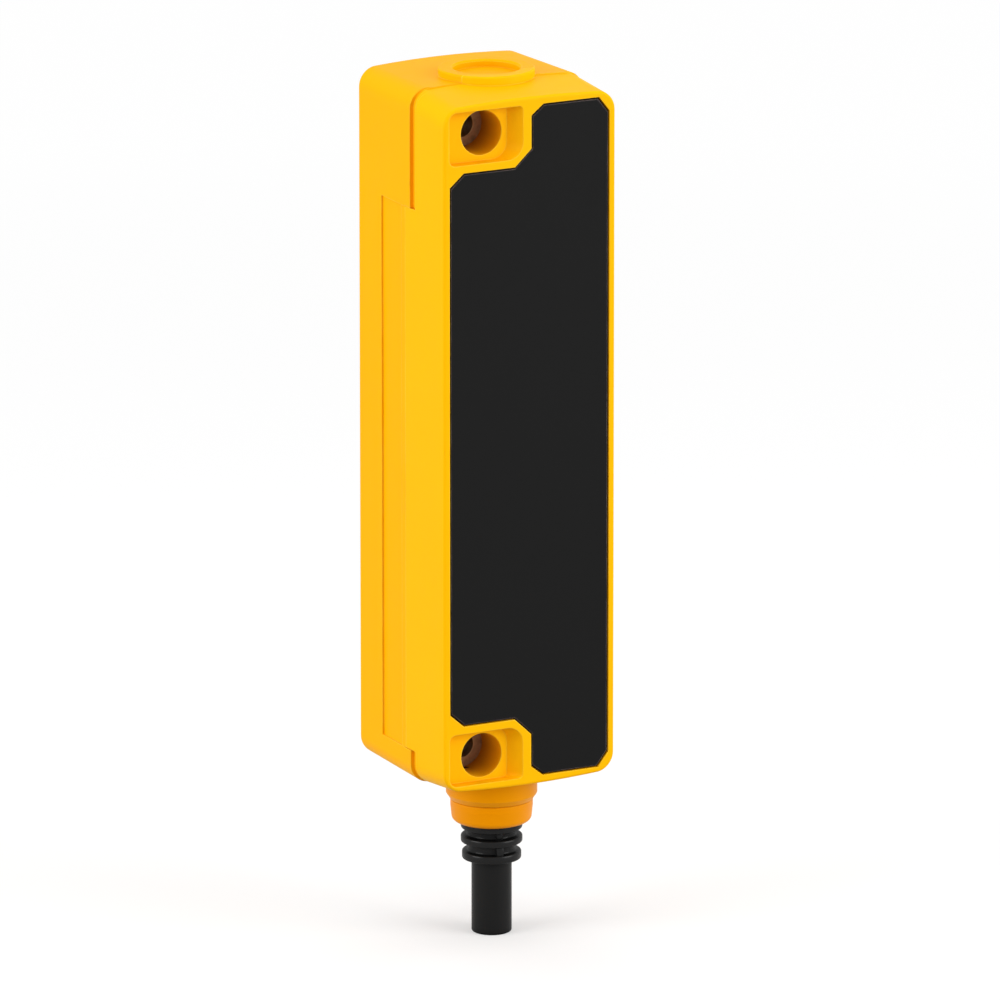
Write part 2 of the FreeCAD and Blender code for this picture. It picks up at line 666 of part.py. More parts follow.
def strain_relief():
    """Moulded strain relief: block, two ribs held by webs, and a head behind the collar."""
    top = relief_top_z()
    head_seat = port_end_z() + COLLAR_SPIGOT
    head_top = head_seat + RELIEF_HEAD
    z = top - RELIEF_BLOCK
    block = rod_z(RELIEF_BLOCK_RADIUS, CABLE_DEPTH, z, top)
    low_edge = edges_where(block, lambda edge: is_circle(edge, RELIEF_BLOCK_RADIUS) and edge.BoundBox.ZMax < top)
    body = [
        rod_z(COLLAR_BORE_RADIUS - FIT, CABLE_DEPTH, relief_end_z(), head_top),
        rod_z(RELIEF_HEAD_RADIUS, CABLE_DEPTH, head_seat, head_top),
        block.makeFillet(RELIEF_EDGE_ROUND, low_edge),
    ]
    for radius, height, gap, width, turn in RELIEF_RIBS:
        rib_top = z - gap
        rib = rod_z(radius, CABLE_DEPTH, rib_top - height, rib_top)
        body.append(rib.makeFillet(RELIEF_EDGE_ROUND, edges_where(rib, lambda edge: is_circle(edge, radius))))
        body.append(relief_web(rib_top - height / 2, z + height / 2, radius, width, turn))
        z = rib_top - height
    relief = fuse_all(body)
    return relief.cut(rod_z(CABLE_RADIUS, CABLE_DEPTH, cable_end_z(), head_top + 1))


def jacket_top_z():
    return port_end_z() + COLLAR_SPIGOT + RELIEF_HEAD + JACKET_INSIDE


def cable_jacket():
    """Outer sheath of the cable, cut square under the strain relief."""
    bottom = cable_end_z()
    jacket = rod_z(CABLE_RADIUS, CABLE_DEPTH, bottom, jacket_top_z())
    end = edges_where(jacket, lambda edge: is_circle(edge, CABLE_RADIUS) and lies_at_z(edge, bottom))
    jacket = jacket.makeFillet(CABLE_END_ROUND, end)
    return jacket.cut(rod_z(CABLE_RADIUS - JACKET_WALL, CABLE_DEPTH, bottom - 1, jacket_top_z() + 1))


def core_places():
    """Middle of each core in the cable: one in the centre and seven round it."""
    places = [(0.0, CABLE_DEPTH)]
    for number in range(len(CORE_COLOURS) - 1):
        angle = 2 * math.pi * number / (len(CORE_COLOURS) - 1)
        x = CORE_RING_RADIUS * math.sin(angle)
        places.append((x, CABLE_DEPTH + CORE_RING_RADIUS * math.cos(angle)))
    return places


def pad_x(number):
    """Pads stand in a row in the order in which the cores lie from left to right."""
    places = core_places()
    order = sorted(range(len(places)), key=lambda index: places[index][0])
    return PAD_PITCH * (order.index(number) - (len(places) - 1) / 2)


def core_route(number):
    """Corner points of a core's path from the cut end to its pad on the board."""
    x, depth = core_places()[number]
    return [
        FreeCAD.Vector(x, at_depth(depth), cable_end_z()),
        FreeCAD.Vector(x, at_depth(depth), CORE_FAN_BOTTOM_Z),
        FreeCAD.Vector(pad_x(number), at_depth(depth), CORE_FAN_TOP_Z),
        FreeCAD.Vector(pad_x(number), at_depth(depth), CORE_DROP_Z),
        FreeCAD.Vector(pad_x(number), at_depth(BOARD_DEPTH - CORE_RADIUS), CORE_LAND_Z),
        FreeCAD.Vector(pad_x(number), at_depth(BOARD_DEPTH - CORE_RADIUS), PAD_Z),
    ]


def bent_rod(radius, corners, bend_radius):
    """Round rod along straight runs joined by tangent arcs."""
    edges = []
    start = corners[0]
    for before, corner, after in zip(corners, corners[1:], corners[2:]):
        inward = (before - corner).normalize()
        onward = (after - corner).normalize()
        turn = math.pi - inward.getAngle(onward)
        if turn < 1e-4:
            continue
        setback = bend_radius * math.tan(turn / 2)
        arc_start = corner + inward * setback
        arc_stop = corner + onward * setback
        bisector = (inward + onward).normalize()
        centre = corner + bisector * (bend_radius / math.cos(turn / 2))
        bend = centre - bisector * bend_radius
        edges.append(Part.LineSegment(start, arc_start).toShape())
        edges.append(Part.Arc(arc_start, bend, arc_stop).toShape())
        start = arc_stop
    edges.append(Part.LineSegment(start, corners[-1]).toShape())
    section = Part.Wire(Part.Circle(corners[0], FreeCAD.Vector(0, 0, 1), radius).toShape())
    return Part.Wire(edges).makePipeShell([section], True, False)


def cable_core(number):
    """Coloured insulation of one core, stripped at the board."""
    route = core_route(number)
    stripped = route[:-1] + [route[-1] - FreeCAD.Vector(0, 0, CORE_BARE)]
    insulation = bent_rod(CORE_RADIUS, stripped, CORE_BEND_RADIUS)
    return insulation.cut(bent_rod(CONDUCTOR_RADIUS, route, CORE_BEND_RADIUS))


def core_conductors():
    """Copper conductors of all cores, laid on their pads."""
    conductors = []
    for number in range(len(CORE_COLOURS)):
        conductors.append(bent_rod(CONDUCTOR_RADIUS, core_route(number), CORE_BEND_RADIUS))
    return Part.makeCompound(conductors)


def solder_joints():
    """Solder that holds each stripped conductor on its pad."""
    height = CORE_RADIUS + CONDUCTOR_RADIUS / 2
    joints = []
    for number in range(len(CORE_COLOURS)):
        x = pad_x(number)
        widths = (x - PAD_WIDTH / 2, x + PAD_WIDTH / 2)
        joint = slab(widths, (BOARD_DEPTH - height, BOARD_DEPTH), (PAD_Z - CORE_BARE + FIT, PAD_Z))
        joints.append(joint.cut(bent_rod(CONDUCTOR_RADIUS, core_route(number), CORE_BEND_RADIUS)))
    return Part.makeCompound(joints)


def board_screw_places():
    return [(x, z) for x in (-BOARD_SCREW_X, BOARD_SCREW_X) for z in (-BOARD_SCREW_Z, BOARD_SCREW_Z)]


def circuit_board():
    """Board on the four posts of the housing."""
    widths = (-BOARD_HALF_WIDTH, BOARD_HALF_WIDTH)
    heights = (-BOARD_HALF_HEIGHT, BOARD_HALF_HEIGHT)
    board = slab(widths, (BOARD_DEPTH, BOARD_DEPTH + BOARD_THICKNESS), heights)
    corners = edges_where(board, lambda edge: edge.BoundBox.YLength > BOARD_THICKNESS / 2)
    board = board.makeFillet(BOARD_CORNER_RADIUS, corners)
    for x, z in board_screw_places():
        hole_end = BOARD_DEPTH + BOARD_THICKNESS + 1
        board = board.cut(rod_y(BOARD_SCREW_RADIUS + 2 * FIT, x, z, BOARD_DEPTH - 1, hole_end))
    return board


def board_screws():
    """Four pan-head screws from the board into the posts."""
    screws = []
    for x, z in board_screw_places():
        shank = rod_y(BOARD_SCREW_RADIUS, x, z, BOARD_DEPTH - 0.1, BOARD_DEPTH + BOARD_SCREW_LENGTH)
        head = rod_y(BOARD_SCREW_HEAD_RADIUS, x, z, BOARD_DEPTH - BOARD_SCREW_HEAD, BOARD_DEPTH)
        top = at_depth(BOARD_DEPTH - BOARD_SCREW_HEAD)
        rim = edges_where(head, lambda edge: is_circle(edge, BOARD_SCREW_HEAD_RADIUS) and lies_at_y(edge, top))
        screws.append(head.makeChamfer(BOARD_SCREW_HEAD / 3, rim).fuse(shank).removeSplitter())
    return Part.makeCompound(screws)


def turned_y(profile, z):
    """Solid turned about the line along Y through X = 0 at a height, from (radius, depth) points."""
    points = [FreeCAD.Vector(radius, at_depth(depth), 0) for radius, depth in profile]
    face = Part.Face(Part.makePolygon(points + points[:1]))
    solid = face.revolve(FreeCAD.Vector(0, 0, 0), FreeCAD.Vector(0, 1, 0), 360)
    solid.translate(FreeCAD.Vector(0, 0, z))
    return solid


def cup_front_depth():
    return COVER_FRONT_WALL + CORE_CUP_TO_FRONT


def ferrite_cup():
    """Half pot core that opens towards the sensing face."""
    front = cup_front_depth()
    floor = front + CORE_CUP_HEIGHT - CORE_CUP_FLOOR
    return turned_y(
        [
            (0, front),
            (CORE_POST_RADIUS, front),
            (CORE_POST_RADIUS, floor),
            (CORE_CUP_RADIUS - CORE_CUP_WALL, floor),
            (CORE_CUP_RADIUS - CORE_CUP_WALL, front),
            (CORE_CUP_RADIUS, front),
            (CORE_CUP_RADIUS, front + CORE_CUP_HEIGHT),
            (0, front + CORE_CUP_HEIGHT),
        ],
        COIL_Z,
    )


def coil_bobbin():
    """Spool on the core's post."""
    front = cup_front_depth()
    floor = front + CORE_CUP_HEIGHT - CORE_CUP_FLOOR
    inner = CORE_POST_RADIUS + FIT
    outer = CORE_CUP_RADIUS - CORE_CUP_WALL - FIT
    return turned_y(
        [
            (inner, front),
            (outer, front),
            (outer, front + BOBBIN_WALL),
            (inner + BOBBIN_WALL, front + BOBBIN_WALL),
            (inner + BOBBIN_WALL, floor - BOBBIN_WALL),
            (outer, floor - BOBBIN_WALL),
            (outer, floor),
            (inner, floor),
        ],
        COIL_Z,
    )


def coil_winding():
    """Wound wire on the spool, as one closed ring."""
    front = cup_front_depth() + BOBBIN_WALL
    back = cup_front_depth() + CORE_CUP_HEIGHT - CORE_CUP_FLOOR - BOBBIN_WALL
    inner = CORE_POST_RADIUS + FIT + BOBBIN_WALL
    outer = CORE_CUP_RADIUS - CORE_CUP_WALL - FIT - WINDING_MARGIN
    return turned_y([(inner, front), (outer, front), (outer, back), (inner, back)], COIL_Z)


def coil_holder():
    """Moulded ring that stands on the board and carries the core near the sensing face."""
    seat = cup_front_depth() + CORE_CUP_HEIGHT
    bore = CORE_CUP_RADIUS - HOLDER_SEAT
    return turned_y(
        [
            (CORE_CUP_RADIUS + FIT, seat - HOLDER_LIP),
            (HOLDER_RADIUS, seat - HOLDER_LIP),
            (HOLDER_RADIUS, BOARD_DEPTH),
            (bore, BOARD_DEPTH),
            (bore, seat),
            (CORE_CUP_RADIUS + FIT, seat),
        ],
        COIL_Z,
    )


def column(x, sizes):
    """Middles of parts that stand in a column, evenly spaced from the read head to the pads."""
    top = COIL_Z - HOLDER_RADIUS
    lengths = [length for width, length, height in sizes]
    gap = (top - PAD_Z - sum(lengths)) / (len(lengths) + 1)
    places = []
    z = top - gap
    for length in lengths:
        places.append((x, z - length / 2))
        z -= length + gap
    return places


def on_board(place, size, standoff=0.0):
    """Block on the front of the board, placed by its middle."""
    x, z = place
    width, length, height = size
    depths = (BOARD_DEPTH - standoff - height, BOARD_DEPTH - standoff)
    return slab((x - width / 2, x + width / 2), depths, (z - length / 2, z + length / 2))


def upright_edges(shape):
    """Edges that stand off the board."""
    return edges_where(shape, lambda edge: edge.BoundBox.YLength > shape.BoundBox.YLength / 2)


def gull_wing(x, z, side, height, lead_width):
    """One bent lead from the side of a chip down to the board."""
    middle = BOARD_DEPTH - CHIP_STANDOFF - height / 2
    foot = BOARD_DEPTH - LEAD_THICKNESS
    bend = LEAD_LENGTH / 2
    profile = [
        (0, middle),
        (bend, middle),
        (bend, foot),
        (LEAD_LENGTH, foot),
        (LEAD_LENGTH, BOARD_DEPTH),
        (bend - LEAD_THICKNESS, BOARD_DEPTH),
        (bend - LEAD_THICKNESS, middle + LEAD_THICKNESS),
        (0, middle + LEAD_THICKNESS),
    ]
    low = z - lead_width / 2
    points = [FreeCAD.Vector(x + side * along, at_depth(depth), low) for along, depth in profile]
    face = Part.Face(Part.makePolygon(points + points[:1]))
    return face.extrude(FreeCAD.Vector(0, 0, lead_width))


def chip(place, size, pitch):
    """Moulded chip with as many leads along its sides as the pitch allows."""
    x, z = place
    width, length, height = size
    leads = int((length - 2 * LEAD_END_MARGIN) / pitch) + 1
    pieces = [on_board(place, size, CHIP_STANDOFF)]
    for side in (-1, 1):
        for number in range(leads):
            lead_z = z + (number - (leads - 1) / 2) * pitch
            pieces.append(gull_wing(x + side * width / 2, lead_z, side, height, LEAD_SHARE * pitch))
    return fuse_all(pieces)


def quartz_crystal():
    """Metal can with round ends, between the upper board screws."""
    can = on_board((0, BOARD_SCREW_Z), CRYSTAL_SIZE)
    return can.makeFillet(CRYSTAL_CORNER, upright_edges(can))


def capacitor_can(place):
    x, z = place
    back = BOARD_DEPTH - CAPACITOR_BASE_SIZE[2]
    front = at_depth(back - CAPACITOR_HEIGHT)
    can = rod_y(CAPACITOR_RADIUS, x, z, back - CAPACITOR_HEIGHT, back)
    rim = edges_where(can, lambda edge: is_circle(edge, CAPACITOR_RADIUS) and lies_at_y(edge, front))
    return can.makeFillet(CAPACITOR_EDGE_ROUND, rim)


def capacitor_base(place):
    base = on_board(place, CAPACITOR_BASE_SIZE)
    return base.makeChamfer(CAPACITOR_BASE_CORNER, upright_edges(base)[:2])


def supply_inductor(place):
    block = on_board(place, INDUCTOR_SIZE)
    return block.makeChamfer(INDUCTOR_CORNER, upright_edges(block))


def small_parts(places, size):
    """Group of like small parts on the board."""
    return Part.makeCompound([on_board(place, size) for place in places])


def all_pieces():
    """Every piece by the name of its file."""
    left_sizes = (MICROCONTROLLER_SIZE, MICROCONTROLLER_SIZE, INDUCTOR_SIZE, DIODE_SIZE, DIODE_SIZE)
    left = column(LEFT_COLUMN_X, left_sizes)
    right = column(RIGHT_COLUMN_X, (READER_SIZE, DRIVER_SIZE, DRIVER_SIZE, CAPACITOR_BASE_SIZE))
    middle = column(MIDDLE_COLUMN_X, (RESISTOR_SIZE, CERAMIC_SIZE) * SMALL_PART_PAIRS)
    pieces = {
        "rear_housing": rear_housing(),
        "front_cover": front_cover(),
        "front_plate": front_plate(),
        "upper_mounting_sleeve": mounting_sleeve(HOLE_X, HOLE_Z),
        "lower_mounting_sleeve": mounting_sleeve(HOLE_X, -HOLE_Z),
        "cover_seal": cover_seal(),
        "gland_collar": gland_collar(),
        "gland_o_ring": gland_o_ring(),
        "strain_relief": strain_relief(),
        "cable_jacket": cable_jacket(),
        "core_conductors": core_conductors(),
        "solder_joints": solder_joints(),
        "circuit_board": circuit_board(),
        "board_screws": board_screws(),
        "coil_holder": coil_holder(),
        "ferrite_cup": ferrite_cup(),
        "coil_bobbin": coil_bobbin(),
        "coil_winding": coil_winding(),
        "quartz_crystal": quartz_crystal(),
        "microcontroller_a": chip(left[0], MICROCONTROLLER_SIZE, MICROCONTROLLER_PITCH),
        "microcontroller_b": chip(left[1], MICROCONTROLLER_SIZE, MICROCONTROLLER_PITCH),
        "supply_inductor": supply_inductor(left[2]),
        "protection_diodes": small_parts(left[3:], DIODE_SIZE),
        "reader_chip": chip(right[0], READER_SIZE, READER_PITCH),
        "output_driver_a": chip(right[1], DRIVER_SIZE, DRIVER_PITCH),
        "output_driver_b": chip(right[2], DRIVER_SIZE, DRIVER_PITCH),
        "capacitor_base": capacitor_base(right[3]),
        "capacitor_can": capacitor_can(right[3]),
        "resistors": small_parts(middle[0::2], RESISTOR_SIZE),
        "ceramic_capacitors": small_parts(middle[1::2], CERAMIC_SIZE),
    }
    for number, colour in enumerate(CORE_COLOURS):
        pieces["core_" + colour] = cable_core(number)
    return pieces


os.makedirs("parts", exist_ok=True)
for name, shape in all_pieces().items():
    print(name, "solids", len(shape.Solids), "valid", shape.isValid(), "volume %.2f" % shape.Volume)
    shape.exportStep("parts/" + name + ".step")
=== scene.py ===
import math

import bmesh
import bpy
from mathutils import Matrix, Vector


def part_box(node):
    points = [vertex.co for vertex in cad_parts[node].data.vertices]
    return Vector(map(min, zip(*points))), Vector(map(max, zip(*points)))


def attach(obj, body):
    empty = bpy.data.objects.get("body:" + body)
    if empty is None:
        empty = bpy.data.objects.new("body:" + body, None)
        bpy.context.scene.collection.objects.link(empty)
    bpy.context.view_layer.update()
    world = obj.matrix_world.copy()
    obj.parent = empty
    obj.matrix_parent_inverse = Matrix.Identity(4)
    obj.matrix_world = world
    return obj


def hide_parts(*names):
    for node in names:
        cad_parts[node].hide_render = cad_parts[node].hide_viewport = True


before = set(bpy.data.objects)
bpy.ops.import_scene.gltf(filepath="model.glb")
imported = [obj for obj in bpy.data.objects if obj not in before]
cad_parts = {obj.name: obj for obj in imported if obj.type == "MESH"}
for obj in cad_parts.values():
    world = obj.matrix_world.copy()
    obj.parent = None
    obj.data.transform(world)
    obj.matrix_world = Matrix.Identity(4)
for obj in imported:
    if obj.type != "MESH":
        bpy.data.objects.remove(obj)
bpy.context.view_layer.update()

# Rear housing
# The deep rear shell of the switch, injection moulded in yellow glass-filled polyamide.
# It carries the screw towers, the closed round port on top and the cable port below.


class Signal:
    """A value inside a material. Arithmetic on it adds the nodes that work it out."""

    def __init__(self, tree, socket=None):
        self.tree = tree
        self.socket = socket

    def node(self, kind, settings, inputs, output=0):
        """Any node: its settings first, then the values or signals of its sockets."""
        node = self.tree.nodes.new("ShaderNode" + kind)
        for name, setting in settings.items():
            setattr(node, name, setting)
        for name, value in inputs.items():
            if isinstance(value, Signal):
                self.tree.links.new(value.socket, node.inputs[name])
            else:
                node.inputs[name].default_value = value
        return Signal(self.tree, node.outputs[output])

    def maths(self, operation, first, second=0.0):
        return self.node("Math", {"operation": operation}, {0: first, 1: second})

    def __add__(self, other):
        return self.maths("ADD", self, other)

    __radd__ = __add__

    def __sub__(self, other):
        return self.maths("SUBTRACT", self, other)

    def __rsub__(self, other):
        return self.maths("SUBTRACT", other, self)

    def __mul__(self, other):
        return self.maths("MULTIPLY", self, other)

    __rmul__ = __mul__

    def over(self, low, high):
        """0 where the value is at low or less, 1 where it is at high or more."""
        span = {"clamp": True}
        return self.node("MapRange", span, {"Value": self, "From Min": low, "From Max": high})

    def blend(self, first, second):
        """The first colour where the value is 0, the second where it is 1."""
        colours = [tone if isinstance(tone, Signal) else (*tone, 1) for tone in (first, second)]
        inputs = {0: self, 6: colours[0], 7: colours[1]}
        return self.node("Mix", {"data_type": "RGBA"}, inputs, output=2)


def new_material(name):
    """An empty material, its shader, and a Signal that holds the object's own coordinates."""
    material = bpy.data.materials.new(name)
    material.use_nodes = True
    tree = material.node_tree
    place = Signal(tree).node("TexCoord", {}, {}, output="Object")
    return material, tree.nodes["Principled BSDF"], place


def feed(shader, **sockets):
    """Puts values or signals on the shader's sockets, given with underscores for spaces."""
    for name, value in sockets.items():
        socket = shader.inputs[name.replace("_", " ")]
        if isinstance(value, Signal):
            value.tree.links.new(value.socket, socket)
        else:
            socket.default_value = value


def noise(place, size, detail=2.0):
    """Even noise whose waves are about the given size in metres."""
    return place.node("TexNoise", {}, {"Vector": place, "Scale": 1 / size, "Detail": detail})


def shade(colour, share):
    """The same colour, lighter or darker."""
    return tuple(min(1.0, channel * share) for channel in colour)


RAY_SAMPLES = 6


def broken_edge(place, radius):
    """The surface's normal with its edges rounded by the radius, and where those edges are."""
    rounded = place.node("Bevel", {"samples": RAY_SAMPLES}, {"Radius": radius})
    true = place.node("NewGeometry", {}, {}, output="Normal")
    dot = {0: rounded, 1: true}
    level = place.node("VectorMath", {"operation": "DOT_PRODUCT"}, dot, output="Value")
    return rounded, (1 - level).over(0.02, 0.20)


def paint(node, material, other=None, is_other=None):
    """Gives a CAD node its material, and another to the faces whose middles the test picks."""
    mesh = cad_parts[node].data
    mesh.materials.clear()
    mesh.materials.append(material)
    if other:
        mesh.materials.append(other)
        for face in mesh.polygons:
            face.material_index = int(is_other(face.center))


SLEEVE_BOXES = [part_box(node) for node in ("upper_mounting_sleeve", "lower_mounting_sleeve")]
SCREW_AXES = [((low.x + high.x) / 2, 0, (low.z + high.z) / 2) for low, high in SLEEVE_BOXES]
BORE_RADIUS = 0.00295
BORE_MOUTH = -0.0228
BORE_DARK = -0.0160
# Brown painted shade deep in the screw holes
BORE_SHADE_BROWN = (0.24, 0.085, 0.012)


def screw_bore_shade(place):
    """Painted shade in the two screw holes: 0 outside them, and inside them from 0 at the mouth to
    1 where the shade is darkest.
    """
    flat = place.node("VectorMath", {"operation": "MULTIPLY"}, {0: place, 1: (1, 0, 1)})
    far = [
        place.node("VectorMath", {"operation": "DISTANCE"}, {0: flat, 1: axis}, output="Value")
        for axis in SCREW_AXES
    ]
    nearest = far[0].maths("MINIMUM", far[0], far[1])
    inside = 1 - nearest.over(BORE_RADIUS * 1.01, BORE_RADIUS * 1.03)
    depth = place.node("SeparateXYZ", {}, {0: place}, output="Y").over(BORE_MOUTH, BORE_DARK)
    return inside * depth


MOULD_EDGE = 0.00022
CLOUD_SIZE = 0.016
FLOW_SIZE = 0.003
GRAIN_SIZE = 0.00011
FINE_GRAIN = 0.0000015
RUB_SIZE = 0.004
HOLLOW_REACH = 0.0014
SKIN_GLOSS = 0.22
NO_TINT = (1, 1, 1)


def moulded(
    name, tones, gloss, shine, grain_height=FINE_GRAIN, skin=0.0, glint=NO_TINT, shade_bores=False
):
    """Moulded plastic, from the tones of its faces, its edges and its hollows: spark-eroded grain,
    faint flow clouds, rubbed edges lightened also as a painted highlight, painted shade in hollows,
    a skin that shines, and painted shade that turns brown deep in the screw holes."""
    colour, edge_wear_and_highlight, hollow_shade = tones
    material, shader, place = new_material(name)
    rounded, edge = broken_edge(place, MOULD_EDGE)
    clouds = noise(place, CLOUD_SIZE, detail=3)
    flow = noise(place, FLOW_SIZE, detail=4)
    grain = noise(place, GRAIN_SIZE, detail=1)
    reach = {"Distance": HOLLOW_REACH}
    open_air = place.node("AmbientOcclusion", {"samples": RAY_SAMPLES}, reach, output="AO")
    open_air = open_air.over(0.25, 0.8)
    rubbed = edge * open_air * noise(place, RUB_SIZE).over(0.2, 0.6)
    tone = (clouds * 0.7 + flow * 0.3).over(0.3, 0.7).blend(shade(colour, 0.97), colour)
    # Painted shade: the hollow tone where ambient occlusion finds the surface closed in. Rubbed
    # edges take the edge tone, wear that also stands as a painted highlight.
    tone = rubbed.blend(open_air.blend(hollow_shade, tone), edge_wear_and_highlight)
    # Painted shade: the walls of the screw holes turn brown with depth.
    if shade_bores:
        tone = screw_bore_shade(place).blend(tone, BORE_SHADE_BROWN)
    height = {"Strength": 0.35, "Distance": grain_height, "Height": grain, "Normal": rounded}
    feed(
        shader,
        Base_Color=tone,
        Roughness=gloss + 0.1 * flow - 0.08 * edge,
        Normal=place.node("Bump", {}, height),
        Specular_IOR_Level=shine,
        Specular_Tint=(*glint, 1),
        Coat_Weight=skin * open_air if skin else 0.0,
        Coat_Roughness=SKIN_GLOSS,
    )
    return material


HOUSING_YELLOW = (0.96, 0.44, 0.0)
# Pale tone on rubbed edges: wear, and a painted highlight along rims
YELLOW_EDGE_WEAR_AND_HIGHLIGHT = (1.0, 0.70, 0.06)
# Painted shade in the hollows of the yellow shells
YELLOW_HOLLOW_SHADE = (0.95, 0.40, 0.0)
YELLOW_SHINE = 0.03
housing_tones = (HOUSING_YELLOW, YELLOW_EDGE_WEAR_AND_HIGHLIGHT, YELLOW_HOLLOW_SHADE)
housing_yellow = moulded("housing_yellow", housing_tones, 0.40, YELLOW_SHINE, shade_bores=True)

# Painted shade: the housing's port under the body is coloured a deeper, darker orange than the rest
# of the same moulding.
PORT_SHADED_YELLOW = (0.82, 0.30, 0.0)
# Painted shade in the hollows of the port and collar
PORT_HOLLOW_SHADE = (0.70, 0.22, 0.0)
PORT_GLINT = (1.0, 0.7, 0.05)
PORT_GLOSS = 0.42
PORT_SHINE = 0.3
PORT_TOP_Z = -0.0461
port_shaded_tones = (PORT_SHADED_YELLOW, YELLOW_EDGE_WEAR_AND_HIGHLIGHT, PORT_HOLLOW_SHADE)
port_shaded_yellow = moulded("port_shaded_yellow", port_shaded_tones, PORT_GLOSS, PORT_SHINE, glint=PORT_GLINT)
# Painted shade: faces of the port below the body take the darker orange
paint("rear_housing", housing_yellow, port_shaded_yellow, lambda middle: middle.z < PORT_TOP_Z)

# Mounting sleeves
# Turned brass bushes, coloured a dark bronze as painted shade deep in the screw holes, laid in
# the screw towers before the cover goes on. Their end faces show fine marks from the lathe.

METAL_EDGE = 0.00012
LATHE_MARK = 0.00006
MARK_DEPTH = 0.000003
SPOT_SIZE = 0.0012


def turned_metal(name, colour, gloss, mark=LATHE_MARK):
    """Turned or drawn metal: fine tool marks, dull spots and edges rubbed bright."""
    material, shader, place = new_material(name)
    rounded, edge = broken_edge(place, METAL_EDGE)
    marks = noise(place, mark, detail=2)
    spots = noise(place, SPOT_SIZE, detail=3).over(0.45, 0.72)
    tone = spots.blend(colour, shade(colour, 0.65))
    height = {"Strength": 0.3, "Distance": MARK_DEPTH, "Height": marks, "Normal": rounded}
    feed(
        shader,
        Base_Color=(edge * 0.6).blend(tone, shade(colour, 1.35)),
        Metallic=1.0,
        Roughness=gloss + 0.14 * spots - 0.08 * edge,
        Normal=place.node("Bump", {}, height),
    )
    return material


# Dark bronze: painted shade on the bushes deep in their holes
SHADED_BRONZE = (0.42, 0.27, 0.15)
sleeve_shaded_bronze = turned_metal("sleeve_shaded_bronze", SHADED_BRONZE, 0.5)
paint("upper_mounting_sleeve", sleeve_shaded_bronze)
paint("lower_mounting_sleeve", sleeve_shaded_bronze)

# Read head
# A pot core of sintered ferrite holds a spool of enamelled copper wire behind the plate.
# A dark holder of glass-filled plastic centres it on the board.

FERRITE_GREY = (0.045, 0.043, 0.045)
SPOOL_NATURAL = (0.62, 0.58, 0.47)
HOLDER_GREY = (0.06, 0.06, 0.065)
WIRE_COPPER = (0.48, 0.15, 0.045)
FERRITE_EDGE = 0.00015
PORE_SIZE = 0.00018
PORE_DEPTH = 0.000012
DUST_SIZE = 0.003
CHIP_SIZE = 0.0006
WIRE_PITCH = 0.00012
WIRE_SWAY_SIZE = 0.004
WIRE_WEAR_SIZE = 0.002
COARSE_GRAIN = 0.000003


def sintered(name, colour):
    """Pressed and fired ceramic: coarse pores, paler dust on them and chipped edges."""
    material, shader, place = new_material(name)
    rounded, edge = broken_edge(place, FERRITE_EDGE)
    pores = noise(place, PORE_SIZE, detail=4)
    dust = noise(place, DUST_SIZE, detail=5).over(0.45, 0.8)
    chips = edge * noise(place, CHIP_SIZE).over(0.5, 0.6)
    height = {"Strength": 0.6, "Distance": PORE_DEPTH, "Height": pores, "Normal": rounded}
    feed(
        shader,
        Base_Color=chips.blend(dust.blend(colour, shade(colour, 1.9)), shade(colour, 3.5)),
        Roughness=0.62 + 0.2 * dust,
        Normal=place.node("Bump", {}, height),
        Specular_IOR_Level=0.45,
    )
    return material


def wound_wire(name, colour, pitch):
    """Layers of enamelled wire: rings a wire apart along the spool, with glints, and painted shade
    darkening the gaps between turns.
    """
    material, shader, place = new_material(name)
    along = place.node("SeparateXYZ", {}, {0: place}, output="Y")
    sway = noise(place, WIRE_SWAY_SIZE) * 0.6
    turn = along * (2 * math.pi / pitch) + sway
    crown = place.node("Math", {"operation": "SINE"}, {0: turn}) * 0.5 + 0.5
    worn = noise(place, WIRE_WEAR_SIZE, detail=3).over(0.4, 0.7)
    tone = worn.blend(colour, shade(colour, 0.7))
    height = {"Strength": 0.8, "Distance": pitch * 0.3, "Height": crown}
    feed(
        shader,
        # Painted shade in the troughs between turns
        Base_Color=crown.over(0.0, 0.45).blend(shade(colour, 0.25), tone),
        Metallic=0.85,
        Roughness=0.28 + 0.12 * worn,
        Normal=place.node("Bump", {}, height),
        Coat_Weight=0.5,
        Coat_Roughness=0.1,
    )
    return material


def plain_moulding(name, colour, gloss, grain_height=COARSE_GRAIN):
    """Moulded plastic with rubbed edges paler, and with painted shade darkening its hollows."""
    tones = (colour, shade(colour, 1.3), shade(colour, 0.7))
    return moulded(name, tones, gloss, 0.4, grain_height)


ferrite = sintered("sintered_ferrite", FERRITE_GREY)
paint("ferrite_cup", ferrite)
paint("coil_bobbin", plain_moulding("spool_plastic", SPOOL_NATURAL, 0.35))
paint("coil_winding", wound_wire("enamelled_wire", WIRE_COPPER, WIRE_PITCH))
paint("coil_holder", plain_moulding("holder_plastic", HOLDER_GREY, 0.45))

# Circuit board
# Fibreglass board under green solder mask, with its weave and tracks faintly raised in the
# mask. Four zinc-plated screws hold it on the posts of the rear housing.

MASK_GREEN = (0.004, 0.075, 0.028)
TRACK_GREEN = (0.012, 0.15, 0.06)
BARE_LAMINATE = (0.35, 0.30, 0.14)
ZINC = (0.66, 0.67, 0.70)
BOARD_EDGE = 0.00012
WEAVE_PER_METRE = 1700.0
TRACKS_PER_METRE = 420.0
TRACK_HEIGHT = 0.00002
SMEAR_SIZE = 0.006


